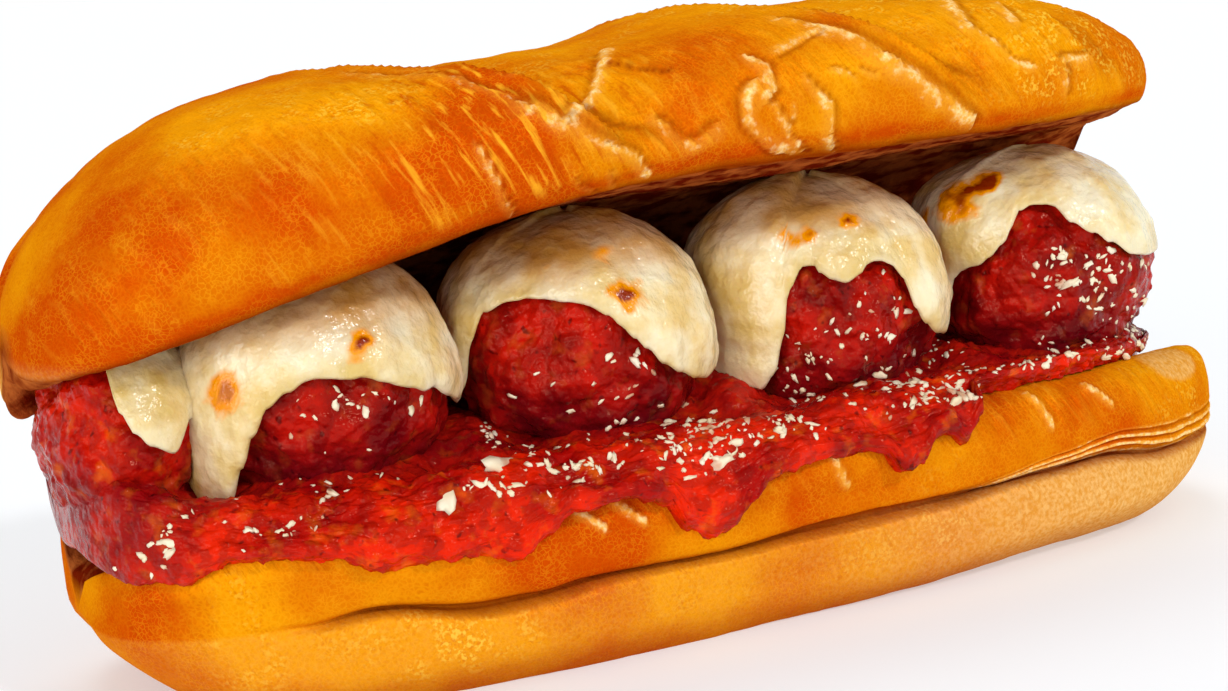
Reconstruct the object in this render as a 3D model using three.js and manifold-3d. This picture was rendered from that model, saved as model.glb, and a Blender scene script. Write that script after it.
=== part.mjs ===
// A hot meatball submarine sandwich: a crusty roll split in two, five meatballs in a row on tomato sauce, a
// slice of melted cheese over each, and grated hard cheese sprinkled over the front.
// Millimetres, +Z up. X runs along the roll, -Y is the open front, and the origin is the middle of the foot.
import * as THREE from "three";
import { mergeVertices } from "three/addons/utils/BufferGeometryUtils.js";
import Module from "manifold-3d";

const wasm = await Module();
wasm.setup();

// Driving dimensions
const BASE_HALF_LENGTH = 100.5;
const BASE_CENTRE_X = 2.3;
const BASE_HALF_WIDTH = 40;
const LIP_HEIGHT = 31;
const REAR_RIM_HEIGHT = 47;
const CREASE_DEPTH = 3;
const END_TUCK = 11; // how much further in each end of the base is at its foot than at its widest

const LID_HALF_LENGTH = 98.5;
const LID_CENTRE_X = -5.5;
const LID_FRONT_HEIGHT = 72.5;
const LID_CROWN_HEIGHT = 94.5;
const LID_END_DROOP = 23;
const LID_NOSE_LENGTH = 50; // the stretch over which the crown rounds down to the left end
const LID_NOSE_DROP = 27;

const SAUCE_LEVEL = 31;
const SLICE_THICKNESS = 2.8;
const TOUCHING_GAP = 0.35;

// The five meatballs: where each one's middle is, and its half sizes.
const BALLS = [
  { at: [-89, -2.5, 41.5], half: [12, 18.5, 17] },
  { at: [-60, -10, 44.5], half: [19.6, 19.4, 19.6] },
  { at: [-17, -10, 44.5], half: [20.0, 19.6, 19.4] },
  { at: [27, -10, 44.5], half: [19.8, 19.2, 19.8] },
  { at: [71, -10, 44.5], half: [19.2, 19.4, 19.4] },
];

// Each slice is draped over a ball's crown. Its rim is a ring of [azimuth in degrees, reach from the crown
// in mm], where azimuth 0 is +X and -90 the front. Its shoulder is the azimuth at which it stands out from
// the ball, and by how much. The small slice comes last, as it tucks under its neighbour.
const SLICES = [
  {
    ball: 1,
    rim: [
      [-176, 38], [-170, 46.5], [-162, 48.5], [-148, 47.5], [-140, 42], [-134, 37], [-127, 33.5], [-118, 31],
      [-109, 29.5], [-91, 30], [-78, 31.5], [-67, 32.5], [-56, 34], [-44, 36], [-31, 37.5], [-22, 30],
      [-10, 21], [20, 20], [90, 30], [172, 28],
    ],
    shoulder: [180, 1.5],
  },
  {
    ball: 2,
    rim: [
      [-174, 40], [-168, 37.5], [-162, 30.5], [-156, 25], [-144, 23.5], [-131, 23], [-118, 23], [-106, 24.5],
      [-98, 26], [-93, 28], [-88, 30.5], [-83, 33], [-76, 35.5], [-67, 37.5], [-58, 39], [-48, 40],
      [-38, 39.5], [-29, 37], [-20, 29], [-10, 21], [5, 20], [60, 31], [150, 34], [164, 38.5],
    ],
    shoulder: [165, 1],
  },
  {
    ball: 3,
    rim: [
      [-175, 42], [-171, 44], [-163, 45], [-156, 45], [-146, 44], [-139, 41.5], [-134.5, 36], [-131, 28],
      [-124, 24.5], [-119, 24.5], [-117, 26], [-111, 27], [-104, 27.5], [-97, 26.5], [-93, 25.5], [-86, 25],
      [-79, 26], [-74, 28.5], [-70, 34], [-64, 37], [-56, 39], [-47, 39.5], [-38, 37], [-28, 32], [-18, 25],
      [-6, 21], [10, 20], [110, 31], [176, 36],
    ],
    shoulder: [165, 2.6],
  },
  {
    ball: 4,
    rim: [
      [-175, 34], [-172, 36.5], [-168, 35.5], [-165, 32.5], [-160, 31], [-153, 30], [-146, 28.5], [-139, 26],
      [-135, 23], [-132, 20], [-125, 19], [-112, 19.5], [-104, 22.5], [-94, 26], [-86, 28], [-74, 30.5],
      [-60, 31], [0, 33], [90, 31], [160, 27], [178, 31],
    ],
    shoulder: [150, 3.6],
  },
  {
    ball: 0,
    rim: [
      [-180, 8], [-114, 8], [-106, 16], [-100, 25], [-95, 28.5], [-90, 30.5], [-80, 32], [-66, 27], [-30, 14],
      [60, 18],
    ],
    shoulder: [-90, 0],
  },
];

// The crease along the base's side: [x, height].
const CREASE = [
  [-110, 14], [-72, 14.6], [-63, 15.6], [-45, 13.2], [-38, 13.4], [-26, 14.6], [-5, 14.4], [8, 15],
  [32, 15.2], [51, 16.2], [64, 16.4], [83, 14], [110, 13.5],
];

// The sauce's front edge: [x, height] where it ends on the front lip.
const SAUCE_EDGE = [
  [-101, 25], [-94, 22.5], [-88, 22.6], [-81, 25.5], [-74, 25.8], [-67, 24.8], [-62, 22], [-57, 22.4],
  [-49, 22.2], [-42, 22], [-37, 24.3], [-33, 26.4], [-22, 26], [-17.5, 24.6], [-15, 20.4], [-11, 18.6],
  [-7.5, 19.4], [-4.5, 22], [-1, 25], [6, 27], [14, 26.8], [19.5, 26.2], [22.5, 23], [26, 23.8], [29, 26.4],
  [32.5, 26.6], [35, 24.2], [37.5, 27], [40, 31.4], [57, 32.3], [72, 31.2], [95, 31],
];

// Where the sauce wells up, between the meatballs and round the left one: [x, extra mm, half width in mm].
const SAUCE_WELLS = [
  [-96, 7, 9],
  [-38, 4.5, 6],
  [5, 5, 6],
  [49, 4, 6],
];

// Slashes across the lid's crust: the x of each at the crown and at the front edge, and its depth.
const SLASHES = [
  { crownX: -48, frontX: -14, depth: 3.4 },
  { crownX: 8, frontX: 44, depth: 3.2 },
  { crownX: 50, frontX: 72, depth: 1.6 },
];
const SLASH_SLANT = 22;

const TAU = 2 * Math.PI;
const { clamp, degToRad, euclideanModulo, lerp, radToDeg, smoothstep } = THREE.MathUtils;
const hump = (x, centre, width) => Math.exp(-(((x - centre) / width) ** 2));

// Smooth unevenness from about -1 to 1 at a point, with bumps of one size. Each piece has its own seed.
function ripple(x, y, z, size, seed) {
  const wave = (a, b, c, turn) => Math.sin((a * x + b * y + c * z) * (TAU / size) + turn * seed);
  return (wave(0.6, 0.7, 0.2, 1.3) + wave(-0.5, 0.4, 0.8, 2.1) + wave(0.3, -0.6, 0.7, 3.7)) / 3;
}

// A closed surface with the faces of a sphere: place(turn, down) gives each vertex its point, where turn
// runs from 0 to 1 once round the axis and down from 0 to 1 between the poles.
function warpedSphere(around, along, place) {
  const sphere = new THREE.SphereGeometry(1, around, along);
  const uv = sphere.getAttribute("uv");
  const position = sphere.getAttribute("position");
  for (let i = 0; i < uv.count; i++) {
    const down = 1 - uv.getY(i);
    const pole = down < 1e-6 || down > 1 - 1e-6;
    const turn = pole || uv.getX(i) > 1 - 1e-6 ? 0 : uv.getX(i);
    position.setXYZ(i, ...place(turn, down));
  }
  return welded(sphere);
}

// A closed mesh with only its positions, and with the vertices at one point joined.
function welded(geometry) {
  const bare = new THREE.BufferGeometry().setAttribute("position", geometry.getAttribute("position"));
  bare.setIndex(geometry.index);
  return mergeVertices(bare, 1e-4);
}

function solidOf(geometry) {
  const triVerts = new Uint32Array(geometry.index.array);
  const vertProperties = geometry.getAttribute("position").array;
  return new wasm.Manifold(new wasm.Mesh({ numProp: 3, vertProperties, triVerts }));
}

// The same shape with its skin moved out all over by the gap that touching pieces keep, to cut others with.
function grownSolid(geometry) {
  const grown = geometry.clone();
  grown.computeVertexNormals();
  const position = grown.getAttribute("position");
  const normal = grown.getAttribute("normal");
  for (let i = 0; i < position.count; i++) {
    position.setX(i, position.getX(i) + TOUCHING_GAP * normal.getX(i));
    position.setY(i, position.getY(i) + TOUCHING_GAP * normal.getY(i));
    position.setZ(i, position.getZ(i) + TOUCHING_GAP * normal.getZ(i));
  }
  return solidOf(grown);
}

// The biggest body of a solid, which drops the crumbs that a cut leaves.
function biggest(solid) {
  return solid.decompose().reduce((a, b) => (b.volume() > a.volume() ? b : a));
}

function cut(solid, cutters) {
  return biggest(cutters.reduce((left, cutter) => left.subtract(cutter), solid));
}

function joined(solid, additions) {
  return biggest(additions.reduce((sum, addition) => sum.add(addition), solid));
}

function geometryOf(solid) {
  const { numProp, vertProperties, triVerts } = solid.getMesh();
  const geometry = new THREE.BufferGeometry();
  const corners = new Float32Array(triVerts.length * 3);
  triVerts.forEach((vertex, i) => {
    corners.set(vertProperties.subarray(vertex * numProp, vertex * numProp + 3), i * 3);
  });
  geometry.setAttribute("position", new THREE.BufferAttribute(corners, 3));
  geometry.computeVertexNormals();
  return geometry;
}

// How full a long piece is at a place along it: 1 in the middle and 0 at its tips. A higher power is blunter.
function bluntness(along, power) {
  return (1 - Math.min(1, Math.abs(along)) ** power) ** (1 / power);
}

function loopOf(points) {
  return new THREE.CatmullRomCurve3(points.map(([y, z]) => new THREE.Vector3(0, y, z)), true, "centripetal");
}

// A long piece made of closed sections along X. Each is section(x), as [y, z] points that run from the middle
// of the bottom round by the front, over the top and down the back. It closes towards middle(x) at the ends.
// slant(turn) leans the rows of faces along X, and relief(x, turn) raises the skin.
function longPiece(shape) {
  const { centreX, halfLength, around, stations, section, middle, bluntY, bluntZ, slant, relief } = shape;
  return warpedSphere(around, stations, (turn, down) => {
    const row = lerp(-Math.cos(Math.PI * down), 2 * down - 1, 0.4); // the rows are closer towards the ends
    const along = row + (slant(turn) * (1 - row * row)) / halfLength;
    const x = centreX + halfLength * along;
    const curve = loopOf(section(x));
    const point = curve.getPoint(turn);
    const tangent = curve.getTangent(turn);
    const out = relief(x, turn);
    const [middleY, middleZ] = middle(x);
    const y = middleY + (point.y - tangent.z * out - middleY) * bluntness(along, bluntY);
    const z = middleZ + (point.z + tangent.y * out - middleZ) * bluntness(along, bluntZ);
    return [x, y, z];
  });
}

// The height in a table of [x, height], eased from one to the next.
function heightAt(table, x) {
  const next = Math.max(1, table.findIndex(([at]) => at > x));
  const [[start, height], [end, nextHeight]] = table.slice(next - 1, next + 1);
  return lerp(height, nextHeight, smoothstep(x, start, end));
}

// The bottom half: a flat slab whose side has a deep crease, a rolled lip along the front, a shallow trough
// for the filling, and a wall at the back that the lid rests on.
function baseSection(x) {
  const w = BASE_HALF_WIDTH;
  const lip = LIP_HEIGHT + 0.8 * Math.sin(x / 13) - 2.2 * smoothstep(-x, 60, 100);
  const rim = REAR_RIM_HEIGHT - 14 * smoothstep(Math.abs(x), 72, 100);
  const crease = heightAt(CREASE, x);
  const depth = CREASE_DEPTH * smoothstep(x, -84, -60);
  const bulge = 0.7 * Math.sin(x / 17 + 0.6);
  return [
    [0, 0],
    [-w + 18, 0],
    [-w + 8.5, 0.4],
    [-w + 3.6, 4],
    [-w + 1.8 + bulge, 8],
    [-w + 1.6, crease - 1.6],
    [-w + 1.4 + depth, crease],
    [-w + 1.4, crease + 1.3],
    [-w + 0.4 + bulge, crease + 5],
    [-w + 0.4, lip - 6.5],
    [-w + 3.4, lip - 1.6],
    [-w + 9, lip],
    [-w + 16, lip - 3],
    [-10, 25.5],
    [12, 26],
    [w - 13, 34],
    [w - 5.5, rim],
    [w - 0.6, rim - 5],
    [w - 0.5, 22],
    [w - 4, 4],
    [w - 13, 0],
  ];
}

function baseRoll() {
  const foot = 1.4; // the height over which the base flattens under the sandwich's weight
  const roll = longPiece({
    centreX: BASE_CENTRE_X,
    halfLength: BASE_HALF_LENGTH,
    around: 32,
    stations: 25,
    section: baseSection,
    middle: () => [-1, 16],
    bluntY: 3.2,
    bluntZ: 5,
    slant: () => 0,
    relief: (x, turn) => 0.5 * ripple(x, turn * 200, 0, 34, 1),
  });
  const position = roll.getAttribute("position");
  for (let i = 0; i < position.count; i++) {
    const along = (position.getX(i) - BASE_CENTRE_X) / BASE_HALF_LENGTH;
    const low = 1 - smoothstep(position.getZ(i), 0, 15);
    position.setX(i, position.getX(i) - END_TUCK * low * along ** 5);
    position.setZ(i, Math.max(0, position.getZ(i) - foot * (1 - smoothstep(position.getZ(i), 0, 14))));
  }
  return roll;
}

// The lid droops over the left end, by the most at its front edge.
function lidDroop(x) {
  return LID_END_DROOP * Math.max(0, (14 - x) / 118) ** 2.1;
}

// The height of the lid's crown: lower over the left half, and rounded down to the end.
function lidCrown(x) {
  const nose = clamp((LID_CENTRE_X - LID_HALF_LENGTH + LID_NOSE_LENGTH - x) / LID_NOSE_LENGTH, 0, 0.985);
  const sag = 3.6 * smoothstep(-x, -14, 18) + 7 * smoothstep(x, 64, 98);
  return LID_CROWN_HEIGHT - sag - LID_NOSE_DROP * (1 - Math.sqrt(1 - nose * nose));
}

// The top half: a domed crust, with an underside that follows the filling down to the back.
function lidSection(x) {
  const front = LID_FRONT_HEIGHT - lidDroop(x);
  const crown = lidCrown(x);
  const under = lidDroop(x) * (0.5 + 0.35 * smoothstep(-x, 86, 104));
  const back = lerp(REAR_RIM_HEIGHT, crown, 0.5);
  return [
    [-4, 66.4 - under],
    [-20, 69.2 - under * 1.2],
    [-31, front - 0.6],
    [-36.4, front + 0.6],
    [-39.2, front + 4.2],
    [-39, lerp(front, crown, 0.5)],
    [-35, lerp(front, crown, 0.76)],
    [-27, lerp(front, crown, 0.91)],
    [-15, crown - 0.6],
    [-2, crown],
    [12, crown - 1.6],
    [24, crown - 6.5],
    [33.5, lerp(back, crown, 0.66)],
    [39, lerp(back, crown, 0.2)],
    [41, back - 10],
    [39, REAR_RIM_HEIGHT - 1 - under * 0.4],
    [32, REAR_RIM_HEIGHT - 1 - under * 0.4],
    [23, 54.5 - under],
    [10, 61.5 - under],
  ];
}

// How far over the lid a turn is: 0 at the front edge and 1 at the crown.
const overLid = (turn) => (turn - 0.2) / 0.27;

// A slash opens to its right: the crust rises into an ear on its left and drops just past it.
function slashRelief(x, turn) {
  const over = overLid(turn);
  const shown = smoothstep(over, 0.02, 0.3) * (1 - smoothstep(over, 1.25, 1.7));
  return SLASHES.reduce((sum, { crownX, frontX, depth }) => {
    const past = x - lerp(frontX, crownX, over);
    const drop = 1.5 * smoothstep(past, 0, 4) - smoothstep(past, 5, 24);
    return sum + shown * depth * (past < 0 ? 0.5 * Math.exp(past / 9) : 0.5 - drop);
  }, 0);
}

// The rows of faces lean with the slashes over the crust, and stand upright again under the lid.
function lidSlant(turn) {
  const onCrust = smoothstep(turn, 0, 0.2) * (1 - smoothstep(turn, 0.7, 1));
  return SLASH_SLANT * onCrust * (0.5 - clamp(overLid(turn), 0, 1.7));
}

function lidRoll() {
  return longPiece({
    centreX: LID_CENTRE_X,
    halfLength: LID_HALF_LENGTH,
    around: 32,
    stations: 30,
    section: lidSection,
    middle: (x) => [0, 71.5 - 0.72 * lidDroop(x)],
    bluntY: 3.1,
    bluntZ: 4.5,
    slant: lidSlant,
    relief: (x, turn) => slashRelief(x, turn) + 0.6 * ripple(x, turn * 190, 0, 40, 4),
  });
}

// A meatball's surface in a direction from its middle: rolled by hand, so it is lumpy.
function ballReach(index, [x, y, z]) {
  const [a, b, c] = BALLS[index].half;
  const even = 1 / Math.hypot(x / a, y / b, z / c);
  return even + 0.6 * ripple(x, y, z, 0.9, index + 2) + 0.4 * ripple(y, z, x, 0.45, index + 7);
}

function meatball(index) {
  const ball = new THREE.IcosahedronGeometry(1, 3);
  const position = ball.getAttribute("position");
  const direction = new THREE.Vector3();
  const middle = new THREE.Vector3(...BALLS[index].at);
  for (let i = 0; i < position.count; i++) {
    direction.fromBufferAttribute(position, i).normalize();
    direction.multiplyScalar(ballReach(index, direction.toArray())).add(middle);
    position.setXYZ(i, ...direction);
  }
  return welded(ball);
}

// How far a slice reaches from its ball's crown, along its drape, at an azimuth in degrees.
function rimReach(rim, azimuth) {
  const spans = rim.map(([start, reach], i) => {
    const [end, nextReach] = rim[(i + 1) % rim.length];
    const width = euclideanModulo(end - start, 360);
    return { share: euclideanModulo(azimuth - start, 360) / width, reach, nextReach };
  });
  const { share, reach, nextReach } = spans.find((span) => span.share <= 1) ?? spans[0];
  return lerp(reach, nextReach, smoothstep(share, 0, 1));
}

// A melted slice: it follows the ball to its widest and hangs straight down from there. It is thicker where
// it has run far, and its rim is round.
function cheeseSlice({ ball, rim, shoulder }) {
  const [cx, cy, cz] = BALLS[ball].at;
  const [a, b, c] = BALLS[ball].half;
  const [side, stand] = shoulder;
  return warpedSphere(28, 10, (turn, down) => {
    const azimuth = turn * TAU - Math.PI;
    const level = 1 / Math.hypot(Math.cos(azimuth) / a, Math.sin(azimuth) / b);
    const share = Math.min(1, 1 - Math.abs(1 - 2 * down)) ** 0.85; // 0 at the crown, 1 at the rim
    const reach = rimReach(rim, radToDeg(azimuth));
    const run = share * reach;
    const far = smoothstep(reach, 27, 44);
    const swell = lerp(0.5, 1.2, far) * (1 + 0.3 * smoothstep(share, 0.7, 0.92));
    const half = (SLICE_THICKNESS / 2) * swell * Math.sqrt(1 - share ** 9);
    const skin = 1 + (SLICE_THICKNESS / 2) * lerp(0.5, 1.1, far) + (down <= 0.5 ? half : -half);
    const drape = ((level + c + SLICE_THICKNESS) / 2 + 1) * (Math.PI / 2); // from the crown to the equator
    const lean = Math.min(run / drape, 1) * (Math.PI / 2);
    const squared = stand * smoothstep(Math.cos(azimuth - degToRad(side)), 0.2, 0.95);
    const out = (level + skin) * Math.sin(lean) + squared * Math.sin(2 * lean) ** 2;
    return [
      cx + out * Math.cos(azimuth),
      cy + out * Math.sin(azimuth),
      cz + (c + skin) * Math.cos(lean) - Math.max(0, run - drape),
    ];
  });
}

// How high the sauce stands behind its front edge.
function sauceTop(x) {
  const level = SAUCE_LEVEL + 0.7 * Math.sin(x / 4.1) + 0.6 * Math.sin(x / 6.7 + 2);
  return SAUCE_WELLS.reduce((top, [at, extra, width]) => top + extra * hump(x, at, width), level);
}

// The sauce lies in the trough, wells up between the meatballs and runs over the front lip.
function sauceSection(x) {
  const edge = heightAt(SAUCE_EDGE, x);
  const out = -BASE_HALF_WIDTH - 1.6 + 5 * smoothstep(edge, 28, 32);
  const top = sauceTop(x);
  const mound = 6 * hump(x, -97, 10); // the sauce heaped over the left end
  return [
    [0, 22],
    [-22, 24],
    [-32, Math.min(edge, 25)],
    [out + 4, edge - 0.4],
    [out + 0.4, edge + 0.2],
    [out - 1, edge + 2.2],
    [out + 1.6, 30.4 + mound / 2],
    [-36, LIP_HEIGHT + 2 + mound],
    [-28, LIP_HEIGHT + 1.4 + mound],
    [-18, top],
    [0, top + 1],
    [16, top + 2],
    [26, SAUCE_LEVEL + 6],
    [32, 40],
    [30, 34],
    [18, 26],
  ];
}

function saucePool() {
  return longPiece({
    centreX: -3.8,
    halfLength: 95.2,
    around: 21,
    stations: 38,
    section: sauceSection,
    middle: () => [2, 28.5],
    bluntY: 3.2,
    bluntZ: 5,
    slant: () => 0,
    relief: (x, turn) => 0.7 * ripple(x, turn * 150, 0, 15, 6),
  });
}

// Repeatable numbers from 0 to 1.
function dice(seed) {
  let state = seed;
  return () => {
    state = (state * 1664525 + 1013904223) % 4294967296;
    return state / 4294967296;
  };
}

// One grain of grated cheese, half sunk at a point of a surface.
function grain(point, roll) {
  const shape = new THREE.OctahedronGeometry(1, 0);
  shape.scale(0.9 + 0.8 * roll(), 0.7 + 0.4 * roll(), 0.75);
  shape.rotateY(roll() * TAU).rotateZ(roll() * TAU);
  shape.translate(...point);
  return solidOf(welded(shape));
}

// Grains over a meatball's bare front, between its slice and the sauce.
function grainsOnBall(index, count) {
  const roll = dice(90 + index);
  const [cx, cy, cz] = BALLS[index].at;
  return Array.from({ length: count }, (_, k) => {
    const azimuth = degToRad(-126 + (34 * (k + roll())) / count);
    const tilt = degToRad(-16 + 24 * roll());
    const [x, y, z] = [Math.cos(tilt) * Math.cos(azimuth), Math.cos(tilt) * Math.sin(azimuth), Math.sin(tilt)];
    const reach = ballReach(index, [x, y, z]);
    return grain([cx + x * reach, cy + y * reach, cz + z * reach], roll);
  });
}

// Grains along the sauce in front of the meatballs.
function grainsOnSauce(count) {
  const roll = dice(7);
  return Array.from({ length: count }, (_, k) => {
    const x = lerp(-84, 72, (k + 0.8 * roll()) / count);
    return grain([x, -37 + 4 * roll(), LIP_HEIGHT + 1.9], roll);
  });
}

const ballShapes = BALLS.map((_, index) => meatball(index));
const sliceShapes = SLICES.map(cheeseSlice);
const baseShape = baseRoll();

const grownBalls = ballShapes.map(grownSolid);
const grownSlices = sliceShapes.map(grownSolid);
const grownBase = grownSolid(baseShape);

const slices = sliceShapes.map((shape, i) => {
  const under = i === 0 ? grownBalls.slice(1) : grownBalls;
  return cut(solidOf(shape), [...under, ...grownSlices.slice(0, i)]);
});
const balls = ballShapes.map((shape, i) => {
  const flap = i === 0 ? [grownSlices[0]] : []; // the second ball's slice hangs against the left ball
  return cut(solidOf(shape), [grownBase, ...flap, ...grownBalls.slice(i + 1)]);
});
const lid = cut(solidOf(lidRoll()), [grownBase, ...grownBalls, ...grownSlices]);
const sauce = cut(solidOf(saucePool()), [grownBase, ...grownBalls, ...grownSlices]);

const crust = new THREE.MeshStandardMaterial({ color: "#d98a2b", roughness: 0.55 });
const meat = new THREE.MeshStandardMaterial({ color: "#8f1410", roughness: 0.3 });
const cheese = new THREE.MeshStandardMaterial({ color: "#f2e3b8", roughness: 0.35 });
const tomato = new THREE.MeshStandardMaterial({ color: "#c4170c", roughness: 0.2 });

const sandwich = new THREE.Group();

function addPiece(name, solid, material) {
  const piece = new THREE.Mesh(geometryOf(solid), material);
  piece.name = name;
  sandwich.add(piece);
}

addPiece("bottom_roll", solidOf(baseShape), crust);
addPiece("top_roll", lid, crust);
addPiece("tomato_sauce", joined(sauce, grainsOnSauce(30)), tomato);
balls.forEach((ball, i) => addPiece(`meatball_${i + 1}`, joined(ball, grainsOnBall(i, 5)), meat));
slices.forEach((slice, i) => addPiece(`cheese_slice_${SLICES[i].ball + 1}`, slice, cheese));

export default sandwich;
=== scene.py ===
import itertools
import math
import random

import bmesh
import bpy
import numpy as np
from mathutils import Matrix, Vector, noise
from mathutils.bvhtree import BVHTree


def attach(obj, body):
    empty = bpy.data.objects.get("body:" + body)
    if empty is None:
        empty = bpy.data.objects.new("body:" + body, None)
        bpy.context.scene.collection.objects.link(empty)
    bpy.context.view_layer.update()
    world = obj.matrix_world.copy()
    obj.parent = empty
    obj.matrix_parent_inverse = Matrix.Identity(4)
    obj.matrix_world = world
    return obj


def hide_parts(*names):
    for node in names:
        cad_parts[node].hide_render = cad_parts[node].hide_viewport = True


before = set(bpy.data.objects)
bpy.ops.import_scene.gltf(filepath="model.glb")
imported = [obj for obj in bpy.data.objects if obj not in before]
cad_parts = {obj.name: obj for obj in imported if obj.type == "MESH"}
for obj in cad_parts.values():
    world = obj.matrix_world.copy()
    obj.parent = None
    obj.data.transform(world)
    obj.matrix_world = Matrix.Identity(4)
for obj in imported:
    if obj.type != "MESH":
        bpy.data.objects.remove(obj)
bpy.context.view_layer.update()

# A hot meatball sub, modelled in millimetres and brought to metres as each piece is finished.
# X runs along the roll, -Y is the open front, and Z is up.
MM = 0.001
TAU = 2 * math.pi

BASE_HALF_LENGTH = 100.5
BASE_CENTRE_X = 2.3
BASE_HALF_WIDTH = 40
LIP_HEIGHT = 31
REAR_RIM_HEIGHT = 47
CREASE_DEPTH = 3
END_TUCK = 11
FOOT_FLAT = 1.4

LID_HALF_LENGTH = 98.5
LID_CENTRE_X = -5.5
LID_FRONT_HEIGHT = 72.5
LID_CROWN_HEIGHT = 94.5
LID_END_DROOP = 23
LID_NOSE_LENGTH = 50
LID_NOSE_DROP = 27

SAUCE_CENTRE_X = -3.8
SAUCE_HALF_LENGTH = 95.2
SAUCE_LEVEL = 31
SLICE_THICKNESS = 2.8

# How bluntly each long piece closes at its ends, in depth and in height, and the (y, z) that it closes to.
BASE_ENDS = (3.2, 5)
BASE_MIDDLE = (-1, 16)
LID_ENDS = (3.1, 4.5)
LID_MIDDLE_HEIGHT = 71.5
SAUCE_ENDS = (3.2, 5)
SAUCE_MIDDLE = (2, 28.5)

# A ball's half width where it stands in the sauce, as a share of its full one.
SUNK_WIDTH = 0.74

# Faces round and along each blank before every face is cut in four by four.
LONG_FACES = (86, 71)
SLICE_FACES = (60, 43)
BALL_SUBDIVISIONS = 7

CAMERA_TARGET = (-6, 0, 41.5)
CAMERA_DISTANCE = 372
CAMERA_TURN = -24
CAMERA_RISE = 10
CAMERA_ROLL = -5
SENSOR_WIDTH = 36
FOCAL_LENGTH = 2250 / 1228  # as a share of the sensor's width

# The five meatballs: the middle and the half sizes of each.
BALLS = [
    ((-89, -2.5, 41.5), (12, 18.5, 17)),
    ((-60, -10, 44.5), (19.6, 19.4, 19.6)),
    ((-17, -10, 44.5), (20.0, 19.6, 19.4)),
    ((27, -10, 44.5), (19.8, 19.2, 19.8)),
    ((71, -10, 44.5), (19.2, 19.4, 19.4)),
]

# The slice over each meatball: its rim as (azimuth in degrees, reach from the crown), where azimuth -90 is
# the front, its shoulder as (azimuth, how far it stands out), the heights between which its top is tanned
# and darkened with painted shade from the lid, and how much, and its toasted spots as (point, radius,
# how dark).
SLICES = [
    {
        "rim": [(-180, 8), (-114, 8), (-106, 16), (-100, 25), (-95, 28.5), (-90, 30.5), (-80, 32),
                (-66, 27), (-30, 14), (60, 18)],
        "shoulder": (-90, 0),
        "tan_and_lid_shade": (60, 70, 0.3),
        "toast": [],
    },
    {
        "rim": [(-176, 38), (-170, 46.5), (-162, 48.5), (-148, 47.5), (-140, 42), (-134, 37), (-127, 33.5),
                (-118, 31), (-109, 29.5), (-91, 30), (-78, 31.5), (-67, 32.5), (-56, 34), (-44, 36),
                (-31, 37.5), (-22, 30), (-10, 21), (20, 20), (90, 30), (172, 28)],
        "shoulder": (180, 1.5),
        "tan_and_lid_shade": (51, 59, 0.95),
        "toast": [((-78.2, -24.4, 48.6), 3.4, 0.66), ((-59.0, -31.2, 54.4), 3.0, 1.0),
                  ((-66, -30, 58), 1.1, 0.3)],
    },
    {
        "rim": [(-174, 40), (-168, 37.5), (-162, 30.5), (-156, 25), (-144, 23.5), (-131, 23), (-118, 23),
                (-106, 24.5), (-98, 26), (-93, 28), (-88, 30.5), (-83, 33), (-76, 35.5), (-67, 37.5),
                (-58, 39), (-48, 40), (-38, 39.5), (-29, 37), (-20, 29), (-10, 21), (5, 20), (60, 31),
                (150, 34), (164, 38.5)],
        "shoulder": (165, 1),
        "tan_and_lid_shade": (55.5, 61.5, 0.95),
        "toast": [((-15.9, -30.7, 55.3), 3.5, 0.9), ((-17.7, -25.5, 61.7), 2.4, 0.4),
                  ((-27.4, -23.5, 60.5), 1.6, 0.3)],
    },
    {
        "rim": [(-175, 42), (-171, 44), (-163, 45), (-156, 45), (-146, 44), (-139, 41.5), (-134.5, 36),
                (-131, 28), (-124, 24.5), (-119, 24.5), (-117, 26), (-111, 27), (-104, 27.5), (-97, 26.5),
                (-93, 25.5), (-86, 25), (-79, 26), (-74, 28.5), (-70, 34), (-64, 37), (-56, 39),
                (-47, 39.5), (-38, 37), (-28, 32), (-18, 25), (-6, 21), (10, 20), (110, 31), (176, 36)],
        "shoulder": (165, 2.6),
        "tan_and_lid_shade": (56, 62, 0.8),
        "toast": [((25.2, -26.2, 61.1), 2.2, 1.0), ((18.2, -25.5, 59.6), 2.3, 0.6),
                  ((15.3, -24.1, 59.1), 2.4, 0.55), ((21, -26, 60.8), 1.6, 0.5),
                  ((10.9, -29, 48), 2.4, 0.22)],
    },
    {
        "rim": [(-175, 34), (-172, 36.5), (-168, 35.5), (-165, 32.5), (-160, 31), (-153, 30), (-146, 28.5),
                (-139, 26), (-135, 23), (-132, 20), (-125, 19), (-112, 19.5), (-104, 22.5), (-94, 26),
                (-86, 28), (-74, 30.5), (-60, 31), (0, 33), (90, 31), (160, 27), (178, 31)],
        "shoulder": (150, 3.6),
        "tan_and_lid_shade": (58, 66, 0.35),
        "toast": [((53.7, -14.3, 59.2), 4.4, 0.72), ((57.6, -16.3, 62.2), 3.6, 0.95),
                  ((52.1, -12, 57.5), 3, 0.5), ((50.9, -8.9, 55.8), 2.6, 0.45),
                  ((54.8, -15.2, 61), 1.6, 0.9)],
    },
]

# The crease along the base's side: (x, height).
CREASE = [
    (-110, 14), (-72, 14.6), (-63, 15.6), (-45, 13.2), (-38, 13.4), (-26, 14.6), (-5, 14.4), (8, 15),
    (32, 15.2), (51, 16.2), (64, 16.4), (83, 14), (110, 13.5),
]

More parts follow.
